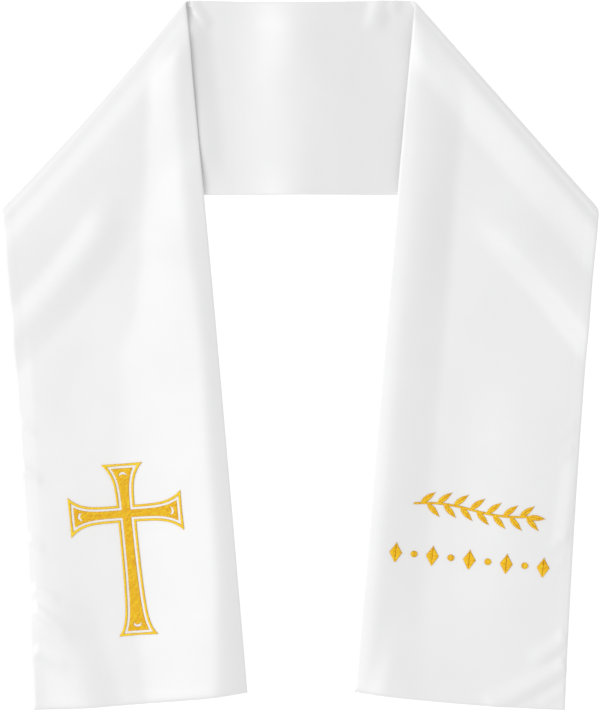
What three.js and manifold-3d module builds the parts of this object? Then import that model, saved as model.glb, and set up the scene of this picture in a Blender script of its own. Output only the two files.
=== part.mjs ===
// Baptism stole, laid flat: one long narrow strip of white satin, sewn double and turned, with gold
// embroidery near its two ends. The back-of-neck band lies across the top, and the strip is folded over
// diagonally at both upper corners, so the two fronts come down over the band and on to the surface.
//
// Millimetres, +Z up from the surface that the stole lies on. The stole's own measures are taken
// `across`, outwards from its middle line, and `down`, from the band's top edge towards the ends.

import * as THREE from 'three';
import { mergeVertices } from 'three/addons/utils/BufferGeometryUtils.js';
import Module from 'manifold-3d';

const wasm = await Module();
wasm.setup();

const radians = THREE.MathUtils.degToRad;
const smoothstep = (share) => THREE.MathUtils.smoothstep(share, 0, 1);
const mix = THREE.MathUtils.lerp;
const clamp = THREE.MathUtils.clamp;

// ---- Cloth ----

const wall = 2;                 // both layers of satin, with the air between them
const seamGap = 0.3;            // clearance between neighbouring pieces

// ---- Neck band ----

const bandWidth = 123;          // top edge to bottom edge, where it shows between the fronts
const bandFlare = 6.8;          // extra width at the folds, hidden under the fronts
const bandTopDip = 1.4;         // how far the top edge sags towards its middle
const flareStart = 0.33;        // share of the way to the fold where the bottom edge starts to flare

// ---- Diagonal fold, a soft half-round roll that widens towards the outer corner ----

const foldAngle = radians(48.5);    // between the fold and the band
const foldStartAcross = 72;         // where the fold's outer line meets the band's top edge
const rollRadiusTop = 2.6;
const rollRadiusCorner = 5.2;
const foldLength = 180;
const foldLate = 1.4;           // how late a front falls away from the crest beside the roll
const sagReach = 40;            // a sagging fold line takes the cloth this far inside it along

// ---- Fronts ----

const totalLength = 448.6;      // band's top edge to the lowest end corner
const endSlant = 11.6;          // the inner corner lies this much higher than the outer one
const endBulge = 2;             // the end edge bows outwards by this much
const innerEdgeBow = -0.8;      // how far each long edge bows away from the middle line
const outerEdgeBow = -2;
const bandStepFall = 45;        // length over which a front comes down off the band
const bandStepMargin = 11;      // it lies clear for this much beyond the band's edge

// fold: the diagonal roll is lower than it is deep, and half its height is given at the top and at the
// outer corner. Beside it the front dips a little, dipIn from the roll, and rises to a low crest, inset from
// the roll and rise over it. From there it falls to where it rests over fall, and the more gently at the end
// the larger ease is. sag is how far the fold's line bows inwards.
//
// edgeRoll: the soft roll along the inner edge, at some distances down. crestIn is how far in its crest
// lies, edge and crest are the heights over what the front lies on, and it falls away beyond over fall.
//
// creases: soft ridges, each from one place to another, given as [across, down]. A ridge bows sideways by
// bow, is rise high at its start and riseEnd at its end, and slopes away over inner on the side of the
// middle line and over outer on the other side. It fades in over fadeIn. It fades out over fadeOut, or
// runs on where that is 0.
const edgeRollClear = 18;       // the edge roll comes to its height over this much beside the fold
const edgeRisePower = 1.2;
const leftFront = {
  side: -1,                     // which way `across` runs in X
  innerEndAcross: 33.3,         // the two corners of the end
  outerEndAcross: 168.5,
  fold: { halfTop: 3.4, halfCorner: 2.9, dip: 0.3, dipIn: 6, rise: 0.4, inset: 17, fall: 46, ease: 1.5,
    sag: 2.3 },
  edgeRoll: [
    { down: 0, crestIn: 3, edge: 0, crest: 0.2, fall: 5, late: 1.2, ease: 1 },
    { down: 38, crestIn: 10.5, edge: 1.8, crest: 3.3, fall: 22, late: 1.2, ease: 1 },
    { down: 65, crestIn: 11, edge: 3.3, crest: 4.9, fall: 24, late: 1.2, ease: 1.1 },
    { down: 95, crestIn: 11, edge: 3.1, crest: 4.8, fall: 31, late: 1.2, ease: 1.2 },
    { down: 126, crestIn: 11.5, edge: 2.1, crest: 4.1, fall: 32, late: 1.2, ease: 1.2 },
    { down: 160, crestIn: 11.5, edge: 1.3, crest: 3.7, fall: 31, late: 1.25, ease: 1.05 },
    { down: 230, crestIn: 10.5, edge: 3.4, crest: 6.1, fall: 53, late: 1.1, ease: 1.3 },
    { down: 300, crestIn: 10.5, edge: 5, crest: 7.6, fall: 60, late: 1.1, ease: 1.4 },
    { down: 405, crestIn: 14.5, edge: 4.6, crest: 8.1, fall: 53, late: 1.15, ease: 1.3 },
    { down: 450, crestIn: 19, edge: 3.2, crest: 7.8, fall: 46, late: 1.2, ease: 1.2 },
  ],
  creases: [
    { name: 'corner crease', from: [111, 122], to: [188, 220], bow: 6.5, rise: 1.8, riseEnd: 2,
      inner: 24, outer: 16, fadeIn: 34, fadeOut: 0 },
    { name: 'hem swell', from: [168, 366], to: [134, 452], bow: 4, rise: 0.8, riseEnd: 3.7,
      inner: 19, outer: 28, fadeIn: 30, fadeOut: 0 },
  ],
};
const rightFront = {
  side: 1,
  innerEndAcross: 34.6,
  outerEndAcross: 167.3,
  fold: { halfTop: 2.7, halfCorner: 2.6, dip: 0.1, dipIn: 0.5, rise: 1.1, inset: 6, fall: 38, ease: 1.8,
    sag: 0 },
  edgeRoll: [
    { down: 0, crestIn: 5, edge: 0.2, crest: 0.9, fall: 14, late: 1.4, ease: 1.2 },
    { down: 45, crestIn: 8, edge: 1.2, crest: 2.3, fall: 28, late: 1.3, ease: 1.3 },
    { down: 90, crestIn: 9.5, edge: 3.2, crest: 4.6, fall: 29, late: 1.6, ease: 1.25 },
    { down: 130, crestIn: 10, edge: 3.9, crest: 5.4, fall: 30, late: 1.6, ease: 1.25 },
    { down: 170, crestIn: 10, edge: 3.7, crest: 5.2, fall: 30, late: 1.6, ease: 1.25 },
    { down: 220, crestIn: 9.5, edge: 3.1, crest: 4.5, fall: 30, late: 1.35, ease: 1.2 },
    { down: 290, crestIn: 9.5, edge: 2.6, crest: 3.9, fall: 28, late: 1.15, ease: 1.2 },
    { down: 370, crestIn: 9.5, edge: 1.9, crest: 3.1, fall: 31, late: 1.15, ease: 1.4 },
    { down: 450, crestIn: 11, edge: 0.8, crest: 2.2, fall: 36, late: 1.3, ease: 1.5 },
  ],
  creases: [
    { name: 'corner crease', from: [108, 130], to: [185, 213], bow: -3.5, rise: 2.6, riseEnd: 3.6,
      inner: 22, outer: 24, fadeIn: 36, fadeOut: 0 },
    { name: 'outer swell', from: [144, 205], to: [136, 430], bow: 0, rise: 1.9, riseEnd: 1.7,
      inner: 44, outer: 70, fadeIn: 60, fadeOut: 60 },
    { name: 'hem swell', from: [80, 385], to: [63, 455], bow: 0, rise: 0.4, riseEnd: 2.6,
      inner: 20, outer: 36, fadeIn: 40, fadeOut: 0 },
  ],
};

// ---- Embroidery ----

const threadHeight = 0.7;       // how far the stitching stands above the cloth's clearance
const crossAcross = 109.8;      // place of the crossing on the left front
const crossDown = 324.4;
const crossTilt = radians(5.8);     // the shaft's lean: its foot lies nearer the middle line
const crossArmTilt = radians(4.4);  // the arms' own slope
const crossBorderWidth = 1.5;
const crossChannelWidth = 1.5;  // bare satin between the border and the fill
const shaftWaist = 5.7;         // half widths at the crossing
const sideWaist = 5.35;
// reach is from the crossing to the arm's end and root from it to where the arm's sides begin. waist and
// tip are the half widths there. The sides swell slowly by swell, and flare is the power of their curve.
const crossArms = [
  { heading: 0, reach: 35.5, root: shaftWaist, waist: sideWaist, swell: 0, tip: 12.6, flare: 4.8 },
  { heading: 90, reach: 31.8, root: sideWaist, waist: shaftWaist, swell: 0, tip: 13, flare: 4.2 },
  { heading: 180, reach: 36.1, root: shaftWaist, waist: sideWaist, swell: 0, tip: 12.7, flare: 5.3 },
  { heading: 270, reach: 77.1, root: sideWaist, waist: shaftWaist, swell: 2.2, tip: 12.4, flare: 13.5 },
];
const swellPower = 3;
const armCells = 10;
const crescentInset = 5.2;      // from an arm's end to the crown of its crescent
const crescentRadius = 2.8;
const crescentThickness = 1.6;
const crescentSpread = radians(64);

const sprigAcross = 108.2;      // middle of the leaf sprig on the right front
const sprigDown = 322;
const sprigTilt = radians(-6.8);
const sprigLength = 85;
const stemWidth = 1.6;
const stemSway = 1.6;           // how far the stem waves to each side
const leafPairs = 7;
const leafLength = 11.5;
const leafWidth = 3.6;
const leafBelly = 0.45;         // how far along a leaf it is widest
const leafSpread = radians(42);
const leafStagger = 0.4;        // how far the leaves of one side sit after the other side's

const rowAcross = 106.8;        // middle of the row of lozenges and dots under the sprig
const rowDown = 353.5;
const rowTilt = radians(-6);
const rowLength = 102;
const lozengeCount = 5;
const lozengeWidth = 8.4;
const lozengeHeight = 12.4;
const dotRadius = 2.2;

// ---- How finely the cloth is divided ----

const acrossCells = 14;
const rollCells = 7;
const lengthCells = 34;
const bandCells = 12;
const curveCells = 7;
const mergeDistance = 1e-5;
const prismBottom = -5;
const prismHeight = 40;

const satin = () => new THREE.MeshStandardMaterial({ color: 0xf4f4f6, roughness: 0.42, metalness: 0 });
const goldThread = () => new THREE.MeshStandardMaterial({ color: 0xeeb41e, roughness: 0.45, metalness: 0 });

// ---- The stole's outline, in `across` and `down` ----

const foldAlong = new THREE.Vector2(Math.cos(foldAngle), Math.sin(foldAngle));
const foldOutward = new THREE.Vector2(Math.sin(foldAngle), -Math.cos(foldAngle));
const radiusSlope = (rollRadiusCorner - rollRadiusTop) / foldLength;

function rollRadius(along) {
  return rollRadiusTop + radiusSlope * along;
}

// The roll's middle line, at a distance along the fold from the band's top edge.
function rollAxis(along) {
  const axis = foldAlong.clone().multiplyScalar(along);
  axis.addScaledVector(foldOutward, -rollRadius(along));
  axis.x += foldStartAcross;
  return axis;
}

// Where along the fold the roll's middle line is at a given `down`.
function foldPlaceAt(down) {
  const lift = rollRadiusTop * foldOutward.y;
  return (down + lift) / (foldAlong.y - radiusSlope * foldOutward.y);
}

// The cloth's edges go round the roll as a helix, so they leave it further along than they meet it.
function helixAdvance(along) {
  return Math.PI * (rollRadius(along) - wall / 2) / Math.tan(foldAngle);
}

// The band's edges, at a share of the way from the middle line to the roll.
function bandTop(share) {
  return bandTopDip * (1 - smoothstep(share));
}

function bandBottom(share) {
  return bandWidth + bandFlare * smoothstep((share - flareStart) / (1 - flareStart));
}

const innerMeet = foldPlaceAt(0);
const outerMeet = foldPlaceAt(bandWidth + bandFlare);
const innerLeave = innerMeet + helixAdvance(innerMeet);
const outerLeave = outerMeet + helixAdvance(outerMeet);

// A long edge runs nearly straight from the roll to the end, and bows a little.
function longEdge(start, end, bow, share) {
  const point = start.clone().lerp(end, share);
  point.x += bow * 4 * share * (1 - share);
  return point;
}

function innerEdge(front, length) {
  const end = new THREE.Vector2(front.innerEndAcross, totalLength - endSlant);
  return longEdge(rollAxis(innerLeave), end, innerEdgeBow, length);
}

// A place on a front: length 0 at the roll and 1 at the end, width 0 at the inner edge and 1 at the outer.
function frontPlace(front, length, width) {
  const outerEnd = new THREE.Vector2(front.outerEndAcross, totalLength);
  const outer = longEdge(rollAxis(outerLeave), outerEnd, outerEdgeBow, length);
  const place = innerEdge(front, length).lerp(outer, width);
  place.y += endBulge * 4 * width * (1 - width) * length ** 2;
  return place;
}

// How far a place lies along the fold, and how far inside the line where the cloth leaves the roll.
function foldMeasures(place) {
  const offset = place.clone().sub(new THREE.Vector2(foldStartAcross, 0));
  const along = offset.dot(foldAlong);
  return { along, inside: Math.max(-offset.dot(foldOutward) - rollRadius(along), 0) };
}

// The fold's line sags inwards between its ends, and the cloth near it with it.
function sagged(front, place) {
  const { along, inside } = foldMeasures(place);
  const share = clamp(along / foldLength, 0, 1);
  const sag = front.fold.sag * 4 * share * (1 - share) * (1 - smoothstep(inside / sagReach));
  return place.clone().addScaledVector(foldOutward, -sag);
}

// ---- Height of a front's underside ----

// One soft ridge about a line that may bow, steeper on one side than on the other.
function creaseHeight(crease, place) {
  const from = new THREE.Vector2(...crease.from);
  const line = new THREE.Vector2(...crease.to).sub(from);
  const reach = line.length();
  const offset = place.clone().sub(from);
  const along = offset.dot(line) / reach;
  const share = clamp(along / reach, 0, 1);
  const aside = line.cross(offset) / reach - crease.bow * 4 * share * (1 - share);
  const reachAside = aside > 0 ? crease.inner : crease.outer;
  if (Math.abs(aside) >= reachAside) return 0;
  const fadeOut = crease.fadeOut ? smoothstep((reach - along) / crease.fadeOut) : 1;
  const rise = mix(crease.rise, crease.riseEnd, share) * smoothstep(along / crease.fadeIn) * fadeOut;
  return rise * Math.cos(Math.PI / 2 * aside / reachAside) ** 2;
}

// What is left of a height at a share of the way down from a crest.
function falling(share, late, ease) {
  return (1 - clamp(share, 0, 1) ** late) ** ease;
}

// The edge roll's measures at a distance down, softly between its rows.
function edgeRollAt(rows, down) {
  const next = clamp(rows.findIndex((row) => row.down > down), 1, rows.length - 1);
  const [above, below] = [rows[next - 1], rows[next]];
  const share = smoothstep((down - above.down) / (below.down - above.down));
  return Object.fromEntries(Object.keys(above).map((key) => [key, mix(above[key], below[key], share)]));
}

// The roll along the inner edge: a rounded rise from the edge to its crest, and a long fall beyond.
function edgeRollHeight(front, place) {
  const roll = edgeRollAt(front.edgeRoll, place.y);
  const start = rollAxis(innerLeave).y;
  const length = clamp((place.y - start) / (totalLength - endSlant - start), 0, 1);
  const inside = place.x - innerEdge(front, length).x;
  if (inside < roll.crestIn) {
    return mix(roll.edge, roll.crest, 1 - (1 - Math.max(inside / roll.crestIn, 0)) ** edgeRisePower);
  }
  return roll.crest * falling((inside - roll.crestIn) / roll.fall, roll.late, roll.ease);
}

// A front lies on the surface, and where it crosses the band it lies just clear of the band's top face.
function restHeight(place) {
  const aboveBandEdge = bandBottom(Math.min(place.x / rollAxis(outerMeet).x, 1)) - place.y;
  return (wall + seamGap) * smoothstep(1 + (aboveBandEdge + bandStepMargin) / bandStepFall);
}

function rollHalfHeight(fold, along) {
  return mix(fold.halfTop, fold.halfCorner, along / foldLength);
}

// The cloth beside the diagonal fold: it dips, rises to a low crest, and falls to where it rests.
function besideFoldHeight(fold, along, inside, rest) {
  const toCrest = smoothstep((inside - fold.dipIn) / (fold.inset - fold.dipIn));
  const dip = fold.dip * smoothstep(inside / fold.dipIn);
  const crest = 2 * rollHalfHeight(fold, along) - wall - dip + (fold.dip + fold.rise) * toCrest;
  return mix(rest, crest, falling((inside - fold.inset) / fold.fall, foldLate, fold.ease));
}

function undersideHeight(place, front) {
  const { along, inside } = foldMeasures(place);
  const creases = front.creases.reduce((sum, crease) => sum + creaseHeight(crease, place), 0);
  return besideFoldHeight(front.fold, along, inside, restHeight(place))
    + edgeRollHeight(front, place) * smoothstep(inside / edgeRollClear)
    + creases * smoothstep(inside / front.fold.fall);
}

// ---- Rows of cloth points: each point has its place on the wall's under face and on its top face ----

// side is -1 on the left and 1 on the right. The middle of the whole length is at y 0.
function at(side, place, height) {
  return new THREE.Vector3(side * place.x, totalLength / 2 - place.y, height);
}

function rollRow(front, turn) {
  const inner = innerMeet + helixAdvance(innerMeet) * turn;
  const outer = outerMeet + helixAdvance(outerMeet) * turn;
  const angle = Math.PI * (turn - 0.5);
  const row = [];
  for (let i = 0; i <= acrossCells; i++) {
    const along = mix(inner, outer, i / acrossCells);
    const half = rollHalfHeight(front.fold, along);
    const onArc = (inset) => {
      const deep = (rollRadius(along) - inset) * Math.cos(angle);
      const place = sagged(front, rollAxis(along).addScaledVector(foldOutward, deep));
      return at(front.side, place, half + (half - inset) * Math.sin(angle));
    };
    row.push({ under: onArc(wall), top: onArc(0) });
  }
  return row;
}

function frontRow(front, length) {
  const row = [];
  for (let i = 0; i <= acrossCells; i++) {
    const place = frontPlace(front, length, i / acrossCells);
    const height = undersideHeight(place, front);
    const shown = sagged(front, place);
    row.push({ under: at(front.side, shown, height), top: at(front.side, shown, height + wall) });
  }
  return row;
}

function flatRows(front) {
  return Array.from({ length: lengthCells + 1 }, (_, i) => frontRow(front, i / lengthCells));
}

function frontRows(front) {
  const roll = Array.from({ length: rollCells }, (_, i) => rollRow(front, i / rollCells));
  return [...roll, ...flatRows(front)];
}

// The band reaches from one roll to the other, and ends just clear of both.
function bandRow(width) {
  const row = [];
  const end = rollAxis(mix(innerMeet, outerMeet, width)).x - seamGap / Math.sin(foldAngle);
  for (let i = 0; i <= bandCells; i++) {
    const share = mix(-1, 1, i / bandCells);
    const down = mix(bandTop(Math.abs(share)), bandBottom(Math.abs(share)), width);
    const front = share < 0 ? leftFront : rightFront;
    const place = sagged(front, new THREE.Vector2(Math.abs(share) * end, down));
    row.push({ under: at(front.side, place, 0), top: at(front.side, place, wall) });
  }
  return row;
}

function bandRows() {
  return Array.from({ length: acrossCells + 1 }, (_, i) => bandRow(i / acrossCells));
}

// ---- Closed solids ----

function signedVolume(positions, index) {
  const corner = (i) => new THREE.Vector3().fromArray(positions, index[i] * 3);
  let volume = 0;
  for (let i = 0; i < index.length; i += 3) {
    volume += corner(i).dot(corner(i + 1).cross(corner(i + 2))) / 6;
  }
  return volume;
}

function solidGeometry(positions, index) {
  const turned = signedVolume(positions, index) < 0;
  const geometry = new THREE.BufferGeometry();
  geometry.setAttribute('position', new THREE.Float32BufferAttribute(positions, 3));
  geometry.setIndex(turned ? [...index].reverse() : index);
  geometry.computeVertexNormals();
  return geometry;
}

// A closed wall between the under and top faces of a grid of cloth points.
function wallGeometry(rows) {
  const columns = rows[0].length;
  const positions = [];
  for (const row of rows) {
    for (const point of row) positions.push(...point.under.toArray(), ...point.top.toArray());
  }
  const under = (i, j) => 2 * (i * columns + j);
  const top = (i, j) => under(i, j) + 1;
  const index = [];
  const quad = (a, b, c, d) => index.push(a, b, c, a, c, d);
  const lastRow = rows.length - 1;
  const lastColumn = columns - 1;
  for (let i = 0; i < lastRow; i++) {
    for (let j = 0; j < lastColumn; j++) {
      quad(top(i, j), top(i + 1, j), top(i + 1, j + 1), top(i, j + 1));
      quad(under(i, j), under(i, j + 1), under(i + 1, j + 1), under(i + 1, j));
    }
    quad(under(i, 0), under(i + 1, 0), top(i + 1, 0), top(i, 0));
    quad(top(i, lastColumn), top(i + 1, lastColumn), under(i + 1, lastColumn), under(i, lastColumn));
  }
  for (let j = 0; j < lastColumn; j++) {
    quad(top(0, j), top(0, j + 1), under(0, j + 1), under(0, j));
    quad(under(lastRow, j), under(lastRow, j + 1), top(lastRow, j + 1), top(lastRow, j));
  }
  return solidGeometry(positions, index);
}

function toSolid(geometry) {
  const bare = geometry.clone();
  bare.deleteAttribute('normal');
  bare.deleteAttribute('uv');
  const merged = mergeVertices(bare, mergeDistance);
  const vertProperties = new Float32Array(merged.attributes.position.array);
  const triVerts = new Uint32Array(merged.index.array);
  return new wasm.Manifold(new wasm.Mesh({ numProp: 3, vertProperties, triVerts }));
}

function fromSolid(solid) {
  const mesh = solid.getMesh();
  return solidGeometry(Array.from(mesh.vertProperties), Array.from(mesh.triVerts));
}

// ---- Embroidery: an upright prism of the motif's outline, cut from a layer that follows the cloth ----

// The layer is made of the front's own top points, moved out.
function threadLayer(front) {
  const moved = (point, height) => point.clone().add(new THREE.Vector3(0, 0, height));
  const lift = (point) => ({
    under: moved(point.top, seamGap),
    top: moved(point.top, seamGap + threadHeight),
  });
  return toSolid(wallGeometry(flatRows(front).map((row) => row.map(lift))));
}

// The motif's outline is drawn in its own plane and set down where it is sewn.
function prism(shape, side, across, down, rightwards, upwards = rightwards) {
  const geometry = new THREE.ExtrudeGeometry(shape, { depth: prismHeight, bevelEnabled: false,
    curveSegments: curveCells });
  const sewn = at(side, new THREE.Vector2(across, down), prismBottom);
  const placing = new THREE.Matrix4().makeBasis(
    new THREE.Vector3(Math.cos(rightwards), Math.sin(rightwards), 0),
    new THREE.Vector3(-Math.sin(upwards), Math.cos(upwards), 0),
    new THREE.Vector3(0, 0, 1),
  ).setPosition(sewn);
  return toSolid(geometry.applyMatrix4(placing));
}

// Half of an arm's width at a distance from the crossing, drawn in by an inset along its slanting side.
function armHalfWidth(arm, distance, inset) {
  const share = distance / arm.reach;
  const flared = arm.tip - arm.waist - arm.swell;
  const half = arm.waist + arm.swell * share ** swellPower + flared * share ** arm.flare;
  const swellSlope = arm.swell * swellPower * share ** (swellPower - 1);
  const slope = (swellSlope + flared * arm.flare * share ** (arm.flare - 1)) / arm.reach;
  return half - inset * Math.hypot(1, slope);
}

// The cross's outline, drawn in from its outer edge by an inset: two sides of each arm in turn. Their
// points crowd towards the arm's end.
function crossOutline(inset) {
  const points = [];
  for (const arm of crossArms) {
    const side = Array.from({ length: armCells + 1 }, (_, i) => {
      const share = i / armCells;
      const distance = mix(arm.root - inset, arm.reach - inset, share * (2 - share));
      return new THREE.Vector2(distance, armHalfWidth(arm, distance, inset));
    });
    side[0].y = arm.waist - inset;
    const lower = side.slice(1).map((point) => new THREE.Vector2(point.x, -point.y));
    const heading = radians(arm.heading);
    for (const point of [...lower, ...side.reverse()]) {
      points.push(point.rotateAround(new THREE.Vector2(), heading));
    }
  }
  return points;
}

// A bare crescent near an arm's end, bowed towards it.
function crescent(arm) {
  const middle = arm.reach - crescentInset - crescentRadius;
  const path = new THREE.Path();
  path.absarc(middle, 0, crescentRadius, -crescentSpread, crescentSpread, false);
  path.absarc(middle - crescentThickness, 0, crescentRadius, crescentSpread, -crescentSpread, true);
  const turned = path.getPoints(curveCells);
  turned.pop();
  return turned.map((point) => point.rotateAround(new THREE.Vector2(), radians(arm.heading)));
}

function crossSolid(shape) {
  return prism(shape, -1, crossAcross, crossDown, crossArmTilt, crossTilt);
}

function crossBorder(layer) {
  const ring = new THREE.Shape(crossOutline(0));
  ring.holes.push(new THREE.Path(crossOutline(crossBorderWidth)));
  return layer.intersect(crossSolid(ring));
}

function crossFill(layer) {
  const fill = new THREE.Shape(crossOutline(crossBorderWidth + crossChannelWidth));
  for (const arm of crossArms) fill.holes.push(new THREE.Path(crescent(arm)));
  return layer.intersect(crossSolid(fill));
}

// A pointed leaf that grows from a place on the stem.
function leafShape(root, heading) {
  const turn = (x, y) => new THREE.Vector2(x, y).rotateAround(new THREE.Vector2(), heading).add(root);
  const tip = turn(leafLength, 0);
  const leftSide = turn(leafLength * leafBelly, leafWidth);
  const rightSide = turn(leafLength * leafBelly, -leafWidth);
  const shape = new THREE.Shape();
  shape.moveTo(root.x, root.y);
  shape.quadraticCurveTo(rightSide.x, rightSide.y, tip.x, tip.y);
  shape.quadraticCurveTo(leftSide.x, leftSide.y, root.x, root.y);
  return shape;
}

function stemPlace(share) {
  const sway = stemSway * Math.sin(2 * Math.PI * share);
  return new THREE.Vector2((share - 0.5) * (sprigLength - leafLength), sway);
}

function stemShape() {
  const steps = leafPairs * 2;
  const along = Array.from({ length: steps + 1 }, (_, i) => stemPlace(i / steps));
  const edge = (sign) => along.map((point) => new THREE.Vector2(point.x, point.y + sign * stemWidth / 2));
  return new THREE.Shape([...edge(-1), ...edge(1).reverse()]);
}

function sprig(layer) {
  const endLeafRoot = stemPlace(1 - stemWidth / sprigLength);
  const shapes = [stemShape(), leafShape(endLeafRoot, 0)];
  for (let pair = 0; pair < leafPairs; pair++) {
    const upperRoot = stemPlace((pair + leafStagger) / leafPairs);
    const lowerRoot = stemPlace((pair + 2 * leafStagger) / leafPairs);
    shapes.push(leafShape(upperRoot, leafSpread), leafShape(lowerRoot, -leafSpread));
  }
  const joined = shapes
    .map((shape) => prism(shape, 1, sprigAcross, sprigDown, sprigTilt))
    .reduce((whole, piece) => whole.add(piece));
  return layer.intersect(joined);
}

// Lozenges and dots take turns along the row.
function rowPiece(layer, place) {
  const middle = (place / (2 * lozengeCount - 2) - 0.5) * (rowLength - lozengeWidth);
  const shape = new THREE.Shape();
  if (place % 2 === 0) {
    shape.moveTo(middle - lozengeWidth / 2, 0);
    shape.lineTo(middle, -lozengeHeight / 2);
    shape.lineTo(middle + lozengeWidth / 2, 0);
    shape.lineTo(middle, lozengeHeight / 2);
  } else {
    shape.absarc(middle, 0, dotRadius, 0, 2 * Math.PI, false);
  }
  return layer.intersect(prism(shape, 1, rowAcross, rowDown, rowTilt));
}

// ---- The whole stole ----

const group = new THREE.Group();

function add(name, geometry, material) {
  const mesh = new THREE.Mesh(geometry, material);
  mesh.name = name;
  group.add(mesh);
}

add('neck_band', wallGeometry(bandRows()), satin());
add('left_front', wallGeometry(frontRows(leftFront)), satin());
add('right_front', wallGeometry(frontRows(rightFront)), satin());

const leftLayer = threadLayer(leftFront);
add('cross_border', fromSolid(crossBorder(leftLayer)), goldThread());
add('cross_fill', fromSolid(crossFill(leftLayer)), goldThread());

const rightLayer = threadLayer(rightFront);
add('sprig', fromSolid(sprig(rightLayer)), goldThread());
for (let place = 0; place < 2 * lozengeCount - 1; place++) {
  const kind = place % 2 === 0 ? 'lozenge' : 'dot';
  add(`${kind}_${Math.floor(place / 2) + 1}`, fromSolid(rowPiece(rightLayer, place)), goldThread());
}

// The frame's origin is under the middle of the whole stole's box.
const box = new THREE.Box3().setFromObject(group);
const middle = box.getCenter(new THREE.Vector3());
group.position.set(-middle.x, -middle.y, -box.min.z);

export default group;
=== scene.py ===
"""Looks of a baptism stole laid flat: a long strip of white satin with gold embroidery on both ends.

The strip runs from the left end over the left fold, along the neck band, over the right fold and down to
the right end. It is one thin closed shell, and the embroidery is sewn of single threads on top of it.

Sizes are in millimetres until a mesh is made. A place on the stole is (across, down): across is outwards
from its middle line, and down is from the band's top edge towards the ends. Heights are over the floor.
"""

from collections import namedtuple

import bpy
import numpy as np
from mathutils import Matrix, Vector


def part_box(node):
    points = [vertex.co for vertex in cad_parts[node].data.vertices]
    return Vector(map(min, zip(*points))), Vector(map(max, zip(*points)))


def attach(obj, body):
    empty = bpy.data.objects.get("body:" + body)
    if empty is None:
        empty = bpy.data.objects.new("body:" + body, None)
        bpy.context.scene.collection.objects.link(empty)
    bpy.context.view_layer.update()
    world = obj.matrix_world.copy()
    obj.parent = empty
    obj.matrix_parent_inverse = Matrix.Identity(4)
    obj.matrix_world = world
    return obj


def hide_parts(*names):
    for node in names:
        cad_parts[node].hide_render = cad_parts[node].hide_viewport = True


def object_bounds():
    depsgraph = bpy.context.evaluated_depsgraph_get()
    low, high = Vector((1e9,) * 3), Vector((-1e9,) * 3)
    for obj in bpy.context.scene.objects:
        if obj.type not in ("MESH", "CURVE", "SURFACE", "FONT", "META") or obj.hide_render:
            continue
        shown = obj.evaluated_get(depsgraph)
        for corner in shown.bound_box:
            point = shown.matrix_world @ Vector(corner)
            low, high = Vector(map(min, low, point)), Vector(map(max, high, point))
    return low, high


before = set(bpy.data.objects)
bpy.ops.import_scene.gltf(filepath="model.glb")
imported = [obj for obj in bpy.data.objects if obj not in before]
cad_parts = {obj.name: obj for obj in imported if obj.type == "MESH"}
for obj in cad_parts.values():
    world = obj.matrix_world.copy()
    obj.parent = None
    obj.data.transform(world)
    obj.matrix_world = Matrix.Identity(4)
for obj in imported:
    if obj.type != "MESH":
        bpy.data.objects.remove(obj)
cad_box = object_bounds()

MM = 0.001
BAND_LOW, BAND_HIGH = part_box("neck_band")
MIDDLE_X = (BAND_LOW.x + BAND_HIGH.x) / 2       # the stole's middle line, in metres
TOP_Y = BAND_HIGH.y                             # the band's top edge, in metres

# ---- Cloth ----

CLOTH = 1.3                 # both layers of satin, pressed
LAYER_GAP = 0.3             # air under a front where it lies on the band
EDGE_ROUNDING = 2.2         # the turned edges thin out over this much
ALLOWANCE_WIDTH = 6.5       # the seam allowance inside the outer edge and the ends
ALLOWANCE_RISE = 0.1        # how much thicker each face is over it
ALLOWANCE_SLOPE = 4         # the width over which it thins out

# ---- The strip's outline, the same as the solids' ----

BAND_WIDTH = 123
BAND_FLARE = 6.8
BAND_TOP_DIP = 1.4
FLARE_START = 0.33
FOLD_ANGLE = np.radians(48.5)
FOLD_START_ACROSS = 72
ROLL_RADIUS_TOP = 2.6
ROLL_RADIUS_CORNER = 5.2
FOLD_LENGTH = 180
TOTAL_LENGTH = 448.6
END_SLANT = 11.6
END_BULGE = 2
INNER_EDGE_BOW = -0.8
OUTER_EDGE_BOW = -2
BAND_STEP_MARGIN = 11       # how far past the band's edge a front still lies as high as on the band
BAND_STEP_FALL = 45         # beyond that it comes down to the floor over this much
STRIP_WIDTH = 132           # its usual width, for the cloth's own measures
STRIP_LENGTH = 1012

# ---- How finely the shell is divided ----

ACROSS_CELLS = 112
EDGE_CROWDING = 0.85        # how much closer the cells lie at the long edges
FRONT_ROWS = 128
END_CROWDING = 0.9          # how much closer the rows lie at the hems
END_CROWDING_POWER = 12     # the higher, the nearer to the hems they crowd
BAND_ROWS = 104
ROLL_ROWS = 22

# One soft crease: a rounded ridge, or a trough where the rise is negative, from one place to another.
# It bows sideways by `bow` and slopes away over `inner` on the side of the middle line and over `outer`
# on the other side. `grow` is how much wider it is at its end than at its start. It fades in and out over
# the last two lengths, and runs on where fade_out is 0.
Crease = namedtuple("Crease", "start end bow rise rise_end inner outer grow fade_in fade_out")

# The roll along a front's inner edge, at some distances down: how far in its crest lies, the edge's and the
# crest's height over what they lie on, and how far the cloth falls away beyond the crest. Where `late` is
# over 1 it falls slowly at first, and where `ease` is over 1 it ends gently.
EdgeRoll = namedtuple("EdgeRoll", "down crest_in edge crest fall late ease")

# The diagonal fold's roll is lower than it is deep: half its height is given at the top and at the outer
# corner. Beside it the front dips a little, `dip_in` from the roll, and rises to a low crest, `inset` from
# the roll and `rise` over it. The rise starts gently where `soft` is 1 and at once where it is 0. From the
# crest the front falls to where it rests over `fall`, and the more gently at the end the larger `ease` is.
# `sag` is how far the fold's line bows inwards.
Fold = namedtuple("Fold", "half_top half_corner dip dip_in rise soft inset fall ease sag")

Front = namedtuple("Front", "side inner_end_across outer_end_across fold edge_roll creases")

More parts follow.
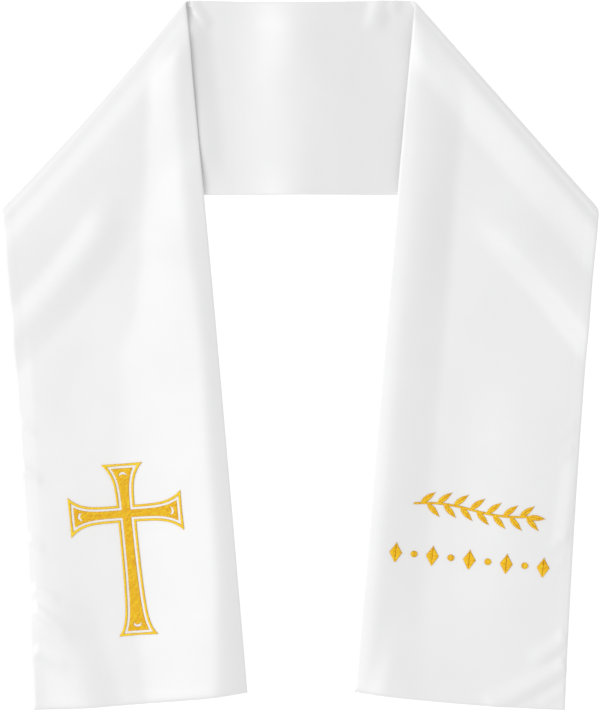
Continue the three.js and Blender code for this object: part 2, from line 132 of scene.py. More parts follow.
LEFT_FRONT = Front(
    side=-1,
    inner_end_across=33.3,
    outer_end_across=168.5,
    fold=Fold(
        half_top=3.4, half_corner=2.9, dip=0.1, dip_in=3.5, rise=0.8, soft=1, inset=13.5, fall=48, ease=1.5,
        sag=2.3,
    ),
    edge_roll=[
        EdgeRoll(down=0, crest_in=3, edge=-0.2, crest=0.2, fall=5, late=1.2, ease=1),
        EdgeRoll(down=38, crest_in=10, edge=2, crest=3.2, fall=17.5, late=1.2, ease=1),
        EdgeRoll(down=65, crest_in=11, edge=3, crest=3.9, fall=19, late=1.2, ease=1.1),
        EdgeRoll(down=95, crest_in=12, edge=3.3, crest=4.2, fall=22, late=1.2, ease=1.2),
        EdgeRoll(down=126, crest_in=13, edge=1.9, crest=3.8, fall=26, late=1.2, ease=1.2),
        EdgeRoll(down=160, crest_in=13, edge=1, crest=3.5, fall=30, late=1.25, ease=1.05),
        EdgeRoll(down=190, crest_in=11, edge=2, crest=4.6, fall=38, late=1.2, ease=1.15),
        EdgeRoll(down=230, crest_in=10.5, edge=3.4, crest=6.1, fall=53, late=1.1, ease=1.3),
        EdgeRoll(down=300, crest_in=12, edge=5, crest=7.9, fall=58, late=1.1, ease=1.35),
        EdgeRoll(down=360, crest_in=13, edge=5.2, crest=8.4, fall=56, late=1.1, ease=1.3),
        EdgeRoll(down=405, crest_in=16, edge=4.6, crest=8.5, fall=51, late=1.15, ease=1.25),
        EdgeRoll(down=450, crest_in=20, edge=3.2, crest=8.1, fall=44, late=1.2, ease=1.2),
    ],
    creases=[
        Crease((111, 122), (187, 218), 5, 2.2, 2.1, 20, 17, 1, 34, 0),
        Crease((170, 200), (159, 425), 0, 0.8, 0.8, 38, 11, 1, 24, 40),
        Crease((168, 366), (134, 452), 4, 0.8, 3.2, 25, 28, 1, 30, 0),
        Crease((177, 266), (165, 274), 0, 0.5, 0.25, 3.5, 4, 1.3, 2, 6),
        Crease((176, 295.5), (161, 306), 0.5, 0.8, 0.4, 3.5, 4.5, 1.3, 2, 7),
        Crease((172, 339), (160, 348), 0, 0.6, 0.3, 3.5, 4.5, 1.3, 2, 6),
        Crease((169.5, 371), (150, 381), 0.5, 0.8, 0.4, 4, 5, 1.3, 2, 8),
        Crease((168.5, 383), (141, 408), 1, 0.9, 0.5, 4.5, 5, 1.5, 2, 14),
        Crease((168, 410), (144, 424), 1, 0.8, 0.5, 4.5, 7, 1.3, 2, 10),
    ],
)
RIGHT_FRONT = Front(
    side=1,
    inner_end_across=34.6,
    outer_end_across=167.3,
    fold=Fold(
        half_top=2.6, half_corner=2.3, dip=0, dip_in=0, rise=1.2, soft=0, inset=5.5, fall=21, ease=1.6, sag=0,
    ),
    edge_roll=[
        EdgeRoll(down=0, crest_in=5, edge=0.2, crest=0.9, fall=14, late=1.4, ease=1.2),
        EdgeRoll(down=45, crest_in=8, edge=1.2, crest=2.3, fall=28, late=1.3, ease=1.3),
        EdgeRoll(down=90, crest_in=9.5, edge=3.3, crest=4.5, fall=28, late=2, ease=1.35),
        EdgeRoll(down=130, crest_in=10, edge=4, crest=5.2, fall=27.5, late=1.95, ease=1.35),
        EdgeRoll(down=170, crest_in=10, edge=3.8, crest=5.1, fall=28, late=1.85, ease=1.35),
        EdgeRoll(down=220, crest_in=9.5, edge=3.1, crest=4.5, fall=29, late=1.6, ease=1.3),
        EdgeRoll(down=290, crest_in=9.5, edge=2.5, crest=3.9, fall=28, late=1.5, ease=1.3),
        EdgeRoll(down=370, crest_in=9.5, edge=1.7, crest=3.2, fall=31, late=1.4, ease=1.4),
        EdgeRoll(down=450, crest_in=10, edge=0.3, crest=2, fall=36, late=1.3, ease=1.5),
    ],
    creases=[
        Crease((106, 129), (185, 210.5), -3.5, 2.5, 4.1, 14, 33, 1.3, 50, 0),
        Crease((144, 205), (136, 430), 0, 1.9, 1.7, 44, 70, 1, 60, 60),
        Crease((68, 385), (50, 455), 0, 0.4, 2.4, 14, 52, 1, 40, 0),
        Crease((174, 285), (166, 350), 0, 0.8, 0.8, 10, 6, 1, 14, 14),
        Crease((169, 402), (142, 420), -2, 1.1, 0.9, 8, 5, 1.3, 2, 12),
        Crease((169, 420.5), (116, 449), -1, 1.3, 1.3, 9, 6, 1.4, 2, 8),
        Crease((168, 436), (150, 446), 0, 0.5, 0.3, 4, 4, 1.2, 2, 6),
        Crease((174, 268), (160, 278), 0, 0.35, 0.15, 4, 4, 1.3, 2, 7),
        Crease((173, 283), (160, 292), 0, 0.4, 0.15, 4, 4, 1.3, 2, 7),
        Crease((169, 337), (157, 346), 0, 0.45, 0.2, 4, 4, 1.3, 2, 6),
        Crease((168, 353), (159, 359), 0, 0.35, 0.2, 4, 4, 1.3, 2, 5),
    ],
)


def smoothstep(share):
    share = np.clip(share, 0, 1)
    return share * share * (3 - 2 * share)


def mix(a, b, share):
    return a + (b - a) * share


def smooth_table(value, places, heights):
    """A soft curve through a table's rows."""
    place = np.clip(np.searchsorted(places, value) - 1, 0, len(places) - 2)
    places, heights = np.array(places, float), np.array(heights, float)
    share = (value - places[place]) / (places[place + 1] - places[place])
    return mix(heights[place], heights[place + 1], smoothstep(share))


# ---- The strip's outline: places are arrays whose last axis is (across, down) ----

FOLD_ALONG = np.array([np.cos(FOLD_ANGLE), np.sin(FOLD_ANGLE)])
FOLD_OUTWARD = np.array([np.sin(FOLD_ANGLE), -np.cos(FOLD_ANGLE)])
RADIUS_SLOPE = (ROLL_RADIUS_CORNER - ROLL_RADIUS_TOP) / FOLD_LENGTH


def roll_radius(along):
    return ROLL_RADIUS_TOP + RADIUS_SLOPE * along


def roll_half_height(fold, along):
    return mix(fold.half_top, fold.half_corner, along / FOLD_LENGTH)


def roll_axis(along):
    """The fold's middle line, at a distance along the fold from the band's top edge."""
    along = np.asarray(along, float)[..., None]
    return np.array([FOLD_START_ACROSS, 0]) + along * FOLD_ALONG - roll_radius(along) * FOLD_OUTWARD


def fold_place_at(down):
    """Where along the fold its middle line is at a given distance down."""
    lift = ROLL_RADIUS_TOP * FOLD_OUTWARD[1]
    return (down + lift) / (FOLD_ALONG[1] - RADIUS_SLOPE * FOLD_OUTWARD[1])


def helix_advance(along):
    """The edges go round the roll as a helix, so they leave it further along than they meet it."""
    return np.pi * (roll_radius(along) - CLOTH / 2) / np.tan(FOLD_ANGLE)


def band_top(share):
    return BAND_TOP_DIP * (1 - smoothstep(share))


def band_bottom(share):
    return BAND_WIDTH + BAND_FLARE * smoothstep((share - FLARE_START) / (1 - FLARE_START))


INNER_MEET = fold_place_at(0)
OUTER_MEET = fold_place_at(BAND_WIDTH + BAND_FLARE)
INNER_LEAVE = INNER_MEET + helix_advance(INNER_MEET)
OUTER_LEAVE = OUTER_MEET + helix_advance(OUTER_MEET)


def long_edge(start, end, bow, share):
    share = np.asarray(share, float)[..., None]
    return mix(start, end, share) + np.array([bow, 0]) * 4 * share * (1 - share)


def front_edges(front, length):
    """The inner and outer edge of a front, at a share of the way from the roll to the end."""
    inner_end = np.array([front.inner_end_across, TOTAL_LENGTH - END_SLANT])
    outer_end = np.array([front.outer_end_across, TOTAL_LENGTH])
    inner = long_edge(roll_axis(INNER_LEAVE), inner_end, INNER_EDGE_BOW, length)
    outer = long_edge(roll_axis(OUTER_LEAVE), outer_end, OUTER_EDGE_BOW, length)
    return inner, outer


def front_place(front, length, width):
    """A place on a front: length 0 at the roll and 1 at the end, width 0 at the inner edge."""
    inner, outer = front_edges(front, length)
    place = mix(inner, outer, width[..., None])
    place[..., 1] += END_BULGE * 4 * width * (1 - width) * length ** 2
    return place


def fold_measures(place):
    """How far a place lies along the fold, and how far inside the line where the cloth leaves the roll."""
    offset = place - np.array([FOLD_START_ACROSS, 0])
    along = offset @ FOLD_ALONG
    return along, -(offset @ FOLD_OUTWARD) - roll_radius(along)


# ---- Heights of the cloth's middle surface ----

def crease_height(crease, place):
    start, end = np.array(crease.start, float), np.array(crease.end, float)
    line = end - start
    reach = np.hypot(*line)
    offset = place - start
    along = offset @ line / reach
    share = np.clip(along / reach, 0, 1)
    aside = (line[0] * offset[..., 1] - line[1] * offset[..., 0]) / reach
    aside = aside - crease.bow * 4 * share * (1 - share)
    reach_aside = np.where(aside > 0, crease.inner, crease.outer) * mix(1, crease.grow, share)
    profile = np.cos(np.pi / 2 * np.clip(np.abs(aside) / reach_aside, 0, 1)) ** 2
    fade = smoothstep(along / crease.fade_in)
    if crease.fade_out:
        fade = fade * smoothstep((reach - along) / crease.fade_out)
    return mix(crease.rise, crease.rise_end, share) * profile * fade


def inner_edge_across(front, down):
    start = roll_axis(INNER_LEAVE)
    share = np.clip((down - start[1]) / (TOTAL_LENGTH - END_SLANT - start[1]), 0, 1)
    bow = INNER_EDGE_BOW * 4 * share * (1 - share)
    return mix(start[0], front.inner_end_across, share) + bow


EDGE_RISE_POWER = 1.6       # how much more of its rise an edge roll makes near its edge
FOLD_LATE = 1.4             # the same as an edge roll's `late`, for the fall beside a diagonal fold
ROLL_CLEAR = 18             # the edge roll comes to its height over this much beside the fold
SAG_REACH = 40              # how far inside a fold the cloth sags with it

# The corners of a roll's profile are rounded: it is the mean of itself at these shifts, with these weights.
SOFTENING = [(-3, 0.1), (-2, 0.15), (-1, 0.16), (0, 0.18), (1, 0.16), (2, 0.15), (3, 0.1)]


def falling(share, late, ease):
    return (1 - np.clip(share, 0, 1) ** late) ** ease


def edge_roll_height(front, place):
    """The roll along the inner edge: a rounded rise from the edge to its crest, and a long fall beyond."""
    down = place[..., 1]
    rows = front.edge_roll
    crest_in, edge, crest, fall, late, ease = [
        smooth_table(down, [row.down for row in rows], [getattr(row, name) for row in rows])
        for name in EdgeRoll._fields[1:]
    ]
    total = 0
    for shift, weight in SOFTENING:
        inside = place[..., 0] - inner_edge_across(front, down) + shift
        rising = 1 - (1 - np.clip(inside / crest_in, 0, 1)) ** EDGE_RISE_POWER
        beyond = falling((inside - crest_in) / fall, late, ease)
        total += weight * np.where(inside < crest_in, mix(edge, crest, rising), crest * beyond)
    return total


# The cloth is never quite flat: long low waves, given as wavelength, heading in degrees, phase and rise.
# Each is made uneven by a second, longer wave that shifts its phase.
Wave = namedtuple("Wave", "length heading phase rise")
WAVE_SHIFT = 0.8
SHIFT_RATE = 2.3            # radians of the second wave in each wavelength of the first
SHIFT_PHASE = 3
WAVES = [
    Wave(83, 24, 0.4, 0.16),
    Wave(61, 118, 2.1, 0.1),
    Wave(47, 71, 4.4, 0.05),
    Wave(38, 152, 1.3, 0.04),
]


def waviness(place, side):
    total = np.zeros(place.shape[:-1])
    for wave in WAVES:
        heading = np.radians(wave.heading)
        along = place[..., 0] * np.cos(heading) * side + place[..., 1] * np.sin(heading)
        shift = WAVE_SHIFT * np.sin(along / wave.length * SHIFT_RATE + wave.phase * SHIFT_PHASE)
        total += wave.rise * (1 + np.sin(2 * np.pi * along / wave.length + wave.phase + shift))
    return total


def rest_height(place):
    """A front lies on the floor, and on the band where it crosses it."""
    above_band_edge = band_bottom(np.minimum(place[..., 0] / roll_axis(OUTER_MEET)[0], 1)) - place[..., 1]
    step = smoothstep(1 + (above_band_edge + BAND_STEP_MARGIN) / BAND_STEP_FALL)
    return CLOTH / 2 + (CLOTH + LAYER_GAP) * step


def fold_height(fold, along, inside, rest):
    """The cloth beside a diagonal fold: it dips, rises to a low crest, and falls to where it rests."""
    roll_top = 2 * roll_half_height(fold, along) - CLOTH / 2
    share = np.clip((inside - fold.dip_in) / (fold.inset - fold.dip_in), 0, 1)
    to_crest = mix(share * (2 - share), smoothstep(share), fold.soft)
    dip = fold.dip * smoothstep(inside / max(fold.dip_in, CLOTH))
    crest = roll_top - dip + (fold.dip + fold.rise) * to_crest
    return mix(rest, crest, falling((inside - fold.inset) / fold.fall, FOLD_LATE, fold.ease))


def front_height(front, place):
    along, inside = fold_measures(place)
    inside = np.maximum(inside, 0)
    folds = waviness(place, front.side)
    for crease in front.creases:
        folds = folds + crease_height(crease, place)
    folds = np.maximum(folds, 0) * smoothstep(inside / front.fold.fall)
    edge_roll = edge_roll_height(front, place) * smoothstep(inside / ROLL_CLEAR)
    return fold_height(front.fold, along, inside, rest_height(place)) + edge_roll + folds


# The band's own creases. Here across runs from left to right, and is negative on the left. They fade out
# under the fronts, on each side from a distance from the middle line and over a width.
SwellLimit = namedtuple("SwellLimit", "start width")
LEFT_LIMIT = SwellLimit(start=72, width=8)
RIGHT_LIMIT = SwellLimit(start=58, width=14)
BAND_CREASES = [
    Crease((5, -20), (4, 150), 0, 4.2, 4.2, 50, 58, 1, 1, 0),
    Crease((-6, -6), (-3, 62), 0, 1.5, 0.8, 26, 30, 1, 24, 34),
    Crease((-4, 170), (-2, 84), 0, 1.4, 0.8, 20, 26, 1, 1, 40),
    Crease((-73.5, 6), (-60.5, 120), 0, 4.3, 2.6, 6, 17, 1, 15, 28),
    Crease((-70, 0), (-57, 19), 0, 1.6, 0.8, 4, 6, 1, 4, 6),
    Crease((52, -5), (44, 24), 0, 2.2, 1, 9, 10, 1, 1, 14),
    Crease((62, -5), (57, 10), 0, 1.8, 1, 6, 8, 1, 1, 6),
]


def band_height(place):
    """The band lies on the floor, with low swells between the fronts, and rises a little to the left one."""
    across = place[..., 0]
    under_left = (-across - LEFT_LIMIT.start) / LEFT_LIMIT.width
    under_right = (across - RIGHT_LIMIT.start) / RIGHT_LIMIT.width
    between_fronts = 1 - smoothstep(np.where(across < 0, under_left, under_right))
    folds = waviness(place, 1)
    for crease in BAND_CREASES:
        folds = folds + crease_height(crease, place)
    return CLOTH / 2 + np.maximum(folds, 0) * between_fronts


# ---- The strip's rows, from the left end to the right end ----

def on_side(side, place, height):
    """Points in the stole's own frame: x from left to right, y upwards from the band's top edge, z height."""
    return np.stack([side * place[..., 0], -place[..., 1], height], axis=-1)


def sagged(front, place):
    """Moves places with their fold: its line sags inwards between its ends, and the cloth near it too."""
    along, inside = fold_measures(place)
    share = np.clip(along / FOLD_LENGTH, 0, 1)
    sag = front.fold.sag * 4 * share * (1 - share) * (1 - smoothstep(inside / SAG_REACH))
    return place - sag[..., None] * FOLD_OUTWARD


def front_rows(front, width):
    even = np.linspace(0, 1, FRONT_ROWS + 1)[:, None]
    length = 1 - (1 - even) * (1 - END_CROWDING * even ** END_CROWDING_POWER)
    place = front_place(front, *np.broadcast_arrays(length, width))
    return on_side(front.side, sagged(front, place), front_height(front, place))


def roll_rows(front, width):
    turn = np.linspace(0, 1, ROLL_ROWS + 1)[:, None]
    meet = mix(INNER_MEET, OUTER_MEET, width)
    leave = mix(INNER_LEAVE, OUTER_LEAVE, width)
    along = mix(meet, leave, turn)
    angle = np.pi * (turn - 0.5)
    deep = roll_radius(along) - CLOTH / 2
    place = roll_axis(along) + (deep * np.cos(angle))[..., None] * FOLD_OUTWARD
    middle = roll_half_height(front.fold, along)
    return on_side(front.side, sagged(front, place), middle + (middle - CLOTH / 2) * np.sin(angle))


def band_rows(width):
    share = np.linspace(-1, 1, BAND_ROWS + 1)[:, None]
    end = roll_axis(mix(INNER_MEET, OUTER_MEET, width))[..., 0]
    down = mix(band_top(np.abs(share)), band_bottom(np.abs(share)), width)
    place = np.stack(np.broadcast_arrays(np.abs(share) * end, down), axis=-1)
    signed = np.stack(np.broadcast_arrays(share * end, down), axis=-1)
    height = band_height(signed)
    left = on_side(-1, sagged(LEFT_FRONT, place), height)
    right = on_side(1, sagged(RIGHT_FRONT, place), height)
    return np.where(share[..., None] < 0, left, right)


def strip_grid():
    even = np.linspace(0, 1, ACROSS_CELLS + 1)
    width = mix(even, 0.5 - 0.5 * np.cos(np.pi * even), EDGE_CROWDING)
    left = [front_rows(LEFT_FRONT, width)[::-1], roll_rows(LEFT_FRONT, width)[-2:0:-1]]
    right = [roll_rows(RIGHT_FRONT, width)[1:-1], front_rows(RIGHT_FRONT, width)]
    return np.concatenate([*left, band_rows(width), *right]), width


# ---- The shell ----

def grid_normals(grid):
    """Unit normals of a grid of points, on the side that is up on the fronts."""
    normals = np.cross(np.gradient(grid, axis=0), np.gradient(grid, axis=1))
    normals /= np.linalg.norm(normals, axis=-1, keepdims=True)
    return normals * np.sign(normals[0, 0, 2])


def edge_round(distance):
    """The share of its full thickness that the cloth has at a distance from an edge."""
    return np.sqrt(np.clip(1 - (1 - np.minimum(distance / EDGE_ROUNDING, 1)) ** 2, 0, 1))


def allowance(distance):
    """How much thicker a face is over the seam allowance, at a distance from the edge."""
    return ALLOWANCE_RISE * smoothstep((ALLOWANCE_WIDTH + ALLOWANCE_SLOPE / 2 - distance) / ALLOWANCE_SLOPE)


def cloth_measures(grid, width):
    """How far each point of the strip lies across it and along it, as the flat cloth is measured."""
    steps = np.linalg.norm(np.diff(grid, axis=0), axis=-1)
    along = np.concatenate([np.zeros((1, grid.shape[1])), np.cumsum(steps, axis=0)])
    across = np.broadcast_to(width * STRIP_WIDTH, along.shape)
    return across, along


def to_metres(points):
    return points * MM + np.array([MIDDLE_X, TOP_Y, 0])


def new_piece(name, points, faces, material):
    mesh = bpy.data.meshes.new(name)
    mesh.from_pydata(to_metres(points).tolist(), [], faces)
    mesh.validate()
    mesh.shade_smooth()
    mesh.materials.append(material)
    piece = bpy.data.objects.new(name, mesh)
    bpy.context.scene.collection.objects.link(piece)
    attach(piece, "root")
    return piece


def set_uv(mesh, name, values):
    """Gives each corner of each face its vertex's two values."""
    corners = np.zeros(len(mesh.loops), np.int32)
    mesh.loops.foreach_get("vertex_index", corners)
    layer = mesh.uv_layers.new(name=name)
    layer.uv.foreach_set("vector", values[corners].astype(np.float32).ravel())


def grid_quads(index):
    """The faces between a grid's vertices, given by their numbers."""
    corners = [index[:-1, :-1], index[1:, :-1], index[1:, 1:], index[:-1, 1:]]
    return np.stack(corners, axis=-1).reshape(-1, 4)


def half_thickness(across, along):
    """Half the cloth's thickness: more over the seam allowance, and rounded off at every edge."""
    from_end = np.minimum(along, along[-1] - along)
    from_outer = STRIP_WIDTH - across
    rounding = edge_round(across) * edge_round(from_outer) * edge_round(from_end)
    return (CLOTH / 2 + np.maximum(allowance(from_outer), allowance(from_end))) * rounding


def as_list(grid):
    return grid.reshape(-1, grid.shape[-1])


def inside_rim(grid):
    """A grid's values as a list, without its outermost rows and columns."""
    return as_list(grid[1:-1, 1:-1])


def shell_faces(top):
    """The faces of the top, and of the underside, which has the top's outermost points for its rim."""
    rows, columns = top.shape[:2]
    top_index = np.arange(rows * columns).reshape(rows, columns)
    under_index = top_index.copy()
    inner_count = (rows - 2) * (columns - 2)
    under_index[1:-1, 1:-1] = rows * columns + np.arange(inner_count).reshape(rows - 2, columns - 2)
    top_faces = grid_quads(top_index)
    under_faces = grid_quads(under_index)[:, ::-1]
    faces_up = np.cross(top[1, 0] - top[0, 0], top[0, 1] - top[0, 0])[2] > 0
    faces = np.concatenate([top_faces, under_faces])
    return faces if faces_up else faces[:, ::-1]


def stole_cloth(material):
    grid, width = strip_grid()
    across, along = cloth_measures(grid, width)
    out = grid_normals(grid) * half_thickness(across, along)[..., None]
    top, under = grid + out, grid - out
    points = np.concatenate([as_list(top), inside_rim(under)])
    piece = new_piece("stole_cloth", points, shell_faces(top).tolist(), material)
    measures = np.stack([across, along], axis=-1) / STRIP_LENGTH
    set_uv(piece.data, "cloth", np.concatenate([as_list(measures), inside_rim(measures)]))
    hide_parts("neck_band", "left_front", "right_front")
    return piece


# ---- Embroidery: every stitch is a thread that comes up out of the cloth and dips back into it ----

THREAD_WIDTH = 0.4
THREAD_SIDES = 6
SINK = 0.3                  # how deep a stitch's ends lie in the cloth
SATIN_PITCH = 0.34          # from one satin stitch to the next
FILL_PITCH = 0.36           # from one row of filling stitches to the next
FILL_STITCH = 2.6
FILL_HEADING = np.radians(40)
UNDERLAY_PITCH = 0.7
NEEDLE_MISS = 0.03
TENSION_MISS = 0.03
ROW_OFFSET = 0.37           # share of a filling stitch by which each row begins later
SHORTEST_STITCH = 0.25      # out of a filling stitch, where a row meets the outline
RANDOM = np.random.default_rng(7)

# A stitch's height at its seven points, out of its rise. The first three and the last three are its bends.
STITCH_ARCH = np.array([0, 0.68, 0.95, 1, 0.95, 0.68, 0])
BEND_MIDDLE = 0.35          # how far through a bend its middle point lies
LONGEST_BEND = 0.4          # out of the stitch's length

# Threads of one kind rise to `rise` over the cloth, within `bend` of each of their ends. The tone of the
# darkest is `dark`, and of the lightest `light`.
Thread = namedtuple("Thread", "width height rise bend dark light")
# The border's tones are set paler than the fill's: partly the thread's own tone, partly a painted highlight
# along the raised cord.
BORDER_THREAD = Thread(width=THREAD_WIDTH, height=0.2, rise=0.65, bend=0.6, dark=0.8, light=1.2)
FILL_THREAD = Thread(width=0.46, height=0.16, rise=0.4, bend=0.3, dark=0.4, light=1)
UNDERLAY_THREAD = Thread(width=0.9, height=0.24, rise=0.16, bend=0.3, dark=0.4, light=0.6)
LEAF_THREAD = Thread(width=THREAD_WIDTH, height=0.24, rise=0.55, bend=0.5, dark=0.4, light=1)

CROSS_ACROSS = 109.8
CROSS_DOWN = 324.4
CROSS_TILT = np.radians(5.8)        # the shaft's lean
CROSS_ARM_TILT = np.radians(4.4)    # the arms' own slope
CROSS_BORDER = 1.5
CROSS_CHANNEL = 1.5                 # bare satin between the border and the fill
SHAFT_WAIST = 5.7                   # half widths at the crossing, of the shaft and of the side arms
SIDE_WAIST = 5.35
ARM_STEPS = 40
CRESCENT_STEPS = 12

# An arm reaches from the crossing to its end, where `tip` is its half width. It widens first by `swell`,
# slowly, and then the faster the larger its flare is.
Arm = namedtuple("Arm", "heading reach root waist swell tip flare")
CROSS_ARMS = [
    Arm(heading=0, reach=35.5, root=SHAFT_WAIST, waist=SIDE_WAIST, swell=0, tip=12.6, flare=4.8),
    Arm(heading=90, reach=31.8, root=SIDE_WAIST, waist=SHAFT_WAIST, swell=0, tip=13, flare=4.2),
    Arm(heading=180, reach=36.1, root=SHAFT_WAIST, waist=SIDE_WAIST, swell=0, tip=12.7, flare=5.3),
    Arm(heading=270, reach=77.1, root=SIDE_WAIST, waist=SHAFT_WAIST, swell=2.2, tip=12.4, flare=13.5),
]
SWELL_POWER = 3
CRESCENT_INSET = 5.2
CRESCENT_RADIUS = 2.8
CRESCENT_THICKNESS = 1.6
CRESCENT_SPREAD = np.radians(64)

SPRIG_ACROSS = 108.2
SPRIG_DOWN = 322
SPRIG_TILT = np.radians(-6.8)
SPRIG_LENGTH = 85
STEM_WIDTH = 1.6
STEM_SWAY = 1.6
LEAF_PAIRS = 7
LEAF_LENGTH = 11.5
LEAF_WIDTH = 3.6
LEAF_BELLY = 0.45
LEAF_SPREAD = np.radians(42)
LEAF_STAGGER = 0.4
LEAF_SLANT = 0.22           # share of a leaf by which its stitches reach forward from the midrib
RIB_OVERLAP = 0.12          # how far the stitches of one half begin beyond the midrib
LEAF_STEPS = 40
STEM_STEPS = 60

ROW_ACROSS = 106.8
ROW_DOWN = 353.5
ROW_TILT = np.radians(-6)
ROW_LENGTH = 102
LOZENGE_COUNT = 5
LOZENGE_WIDTH = 8.4
LOZENGE_HEIGHT = 12.4
LOZENGE_SLANT = 0.12
DOT_RADIUS = 2.2
DOT_STEPS = 24


def turned(points, angle):
    c, s = np.cos(angle), np.sin(angle)
    return points @ np.array([[c, s], [-s, c]])


def sewn(front, across, down, rightwards, upwards):
    """A function that carries places in a motif's own plane to places on a front."""
    def carry(points):
        x = front.side * across + points[..., 0] * np.cos(rightwards) - points[..., 1] * np.sin(upwards)
        y = points[..., 0] * np.sin(rightwards) + points[..., 1] * np.cos(upwards)
        return np.stack([front.side * x, down - y], axis=-1)
    return carry


def stitch_shares(thread, length):
    """Where along each stitch its seven points lie."""
    bend = np.minimum(thread.bend / length, LONGEST_BEND)[:, None]
    half = np.concatenate([0 * bend, BEND_MIDDLE * bend, bend], axis=1)
    return np.concatenate([half, 0 * bend + 0.5, 1 - half[:, ::-1]], axis=1)


def thread_middles(front, carry, starts, ends, thread):
    """The middle line of one thread from each start to its end, which are in the motif's plane."""
    starts = starts + RANDOM.normal(0, NEEDLE_MISS, starts.shape)
    ends = ends + RANDOM.normal(0, NEEDLE_MISS, ends.shape)
    share = stitch_shares(thread, np.linalg.norm(ends - starts, axis=1))
    places = carry(mix(starts[:, None], ends[:, None], share[..., None]))
    tension = RANDOM.normal(0, TENSION_MISS, (len(starts), 1))
    lift = CLOTH / 2 - SINK + (thread.rise + SINK) * STITCH_ARCH + tension
    return on_side(front.side, places, front_height(front, places) + lift)


def tube_points(middles, thread):
    """For each thread the points of the rings round it, and then its two tips."""
    heading = middles[:, -1] - middles[:, 0]
    heading[:, 2] = 0
    heading /= np.linalg.norm(heading, axis=1, keepdims=True)
    sideways = np.stack([-heading[:, 1], heading[:, 0], np.zeros(len(heading))], axis=-1)
    angle = 2 * np.pi * np.arange(THREAD_SIDES) / THREAD_SIDES
    wide = (thread.width / 2 * np.cos(angle))[None, None, :, None] * sideways[:, None, None]
    high = (thread.height / 2 * np.sin(angle))[None, None, :, None] * np.array([0, 0, 1])
    rings = middles[:, 1:-1, None] + wide + high
    tips = np.stack([middles[:, 0], middles[:, -1]], axis=1)
    return np.concatenate([rings.reshape(len(middles), -1, 3), tips], axis=1)


def tube_faces():
    """The faces of one thread."""
    ring_count = len(STITCH_ARCH) - 2
    index = np.arange(ring_count * THREAD_SIDES).reshape(ring_count, THREAD_SIDES)
    ahead = np.roll(index, -1, axis=1)
    quads = np.stack([index[:-1], ahead[:-1], ahead[1:], index[1:]], axis=-1).reshape(-1, 4)
    first_tip, last_tip = index.size, index.size + 1
    start_fan = [(first_tip, after, before) for before, after in zip(index[0], ahead[0])]
    end_fan = [(last_tip, before, after) for before, after in zip(index[-1], ahead[-1])]
    return quads.tolist() + start_fan + end_fan


def thread_tubes(front, carry, starts, ends, thread):
    """The points, faces and shades of one thread from each start to its end. The shades hold each stitch's
    own tone, darkened towards its ends as painted shade where it dips into the cloth.
    """
    points = tube_points(thread_middles(front, carry, starts, ends, thread), thread)
    count, size = points.shape[:2]
    one_thread = tube_faces()
    faces = [tuple(int(corner) + size * i for corner in face) for i in range(count) for face in one_thread]
    # Painted shade: each stitch's colour is darkened towards its ends, where it dips into the cloth, by the
    # square of its arch.
    light = np.concatenate([np.repeat(STITCH_ARCH[1:-1], THREAD_SIDES), STITCH_ARCH[[0, -1]]]) ** 2
    shades = mix(thread.dark, thread.light, RANDOM.random((count, 1))) * light
    return points.reshape(-1, 3), faces, shades.ravel()


def stitched_piece(name, parts, material, replaced):
    """One piece of several lots of threads."""
    points, faces, shades = [], [], []
    offset = 0
    for part_points, part_faces, part_shades in parts:
        points.append(part_points)
        shades.append(part_shades)
        faces.extend(tuple(corner + offset for corner in face) for face in part_faces)
        offset += len(part_points)
    piece = new_piece(name, np.concatenate(points), faces, material)
    shade = piece.data.attributes.new("shade", "FLOAT", "POINT")
    shade.data.foreach_set("value", np.concatenate(shades).astype(np.float32))
    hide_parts(*replaced)
    return piece


def satin_stitches(first, second):
    """Stitches from one curve to another that matches it, a pitch apart along the first."""
    steps = np.linalg.norm(np.diff(first, axis=0), axis=1)
    along = np.concatenate([[0], np.cumsum(steps)])
    places = np.linspace(0, along[-1], max(int(along[-1] / SATIN_PITCH), 2))

    def sampled(curve):
        return np.stack([np.interp(places, along, curve[:, k]) for k in (0, 1)], axis=-1)
    return sampled(first), sampled(second)


# ---- The cross ----

def arm_half_width(arm, distance, inset):
    share = distance / arm.reach
    flared = arm.tip - arm.waist - arm.swell
    half = arm.waist + arm.swell * share ** SWELL_POWER + flared * share ** arm.flare
    swell_slope = arm.swell * SWELL_POWER * share ** (SWELL_POWER - 1)
    slope = (swell_slope + flared * arm.flare * share ** (arm.flare - 1)) / arm.reach
    return half - inset * np.hypot(1, slope)


def cross_sides(inset):
    """The cross's outline drawn in by an inset: each arm's lower side, its end and its upper side."""
    sides = []
    for arm in CROSS_ARMS:
        even = np.linspace(0, 1, ARM_STEPS)
        distance = mix(arm.root - inset, arm.reach - inset, even * (2 - even))
        half = arm_half_width(arm, distance, inset)
        half[0] = arm.waist - inset
        lower = np.stack([distance, -half], axis=-1)
        upper = lower[::-1] * [1, -1]
        heading = np.radians(arm.heading)
        sides += [turned(side, heading) for side in (lower, np.stack([lower[-1], upper[0]]), upper)]
    return sides


def crescent(arm):
    """The outline of the bare crescent near an arm's end."""
    angle = np.linspace(-CRESCENT_SPREAD, CRESCENT_SPREAD, CRESCENT_STEPS)
    arc = CRESCENT_RADIUS * np.stack([np.cos(angle), np.sin(angle)], axis=-1)
    middle = arm.reach - CRESCENT_INSET - CRESCENT_RADIUS
    outline = np.concatenate([arc, (arc - [CRESCENT_THICKNESS, 0])[::-1]]) + [middle, 0]
    return turned(outline, np.radians(arm.heading))


